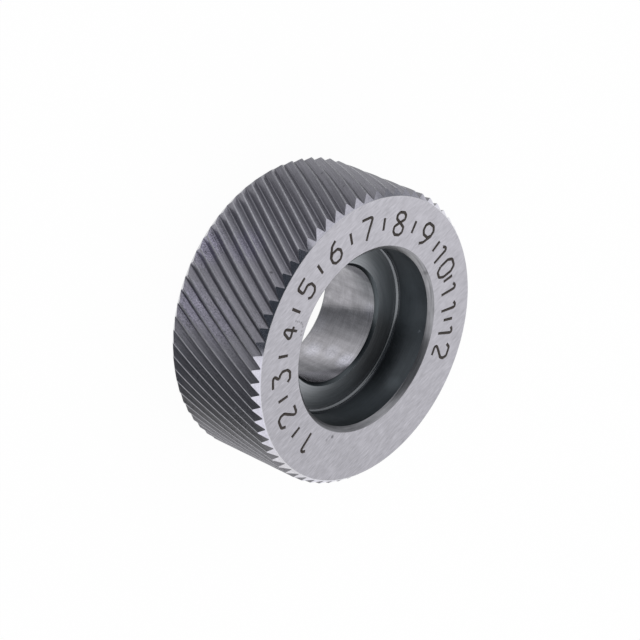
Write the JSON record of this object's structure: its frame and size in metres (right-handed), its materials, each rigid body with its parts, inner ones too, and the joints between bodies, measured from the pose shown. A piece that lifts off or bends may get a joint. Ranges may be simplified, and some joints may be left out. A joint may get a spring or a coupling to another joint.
{
  "type": "knurling wheel",
  "caption": "Round steel knurling wheel with right-hand helical teeth on its rim, chamfered tooth ends, a through bore for its pin and a wider counterbore in one face.",
  "frame": {"origin": "centre of the plain back face, on the wheel's axis, where the wheel lies flat", "axes": "+Z along the wheel's axis, out of the counterbored face; +X through the middle of a tooth crest at the back face"},
  "size_m": [0.02, 0.02, 0.008],
  "materials": {
    "steel": "ground faces and bore, darker hardened teeth"
  },
  "bodies": {
    "root": {"knurling_wheel": "steel"}
  },
  "joints": []
}
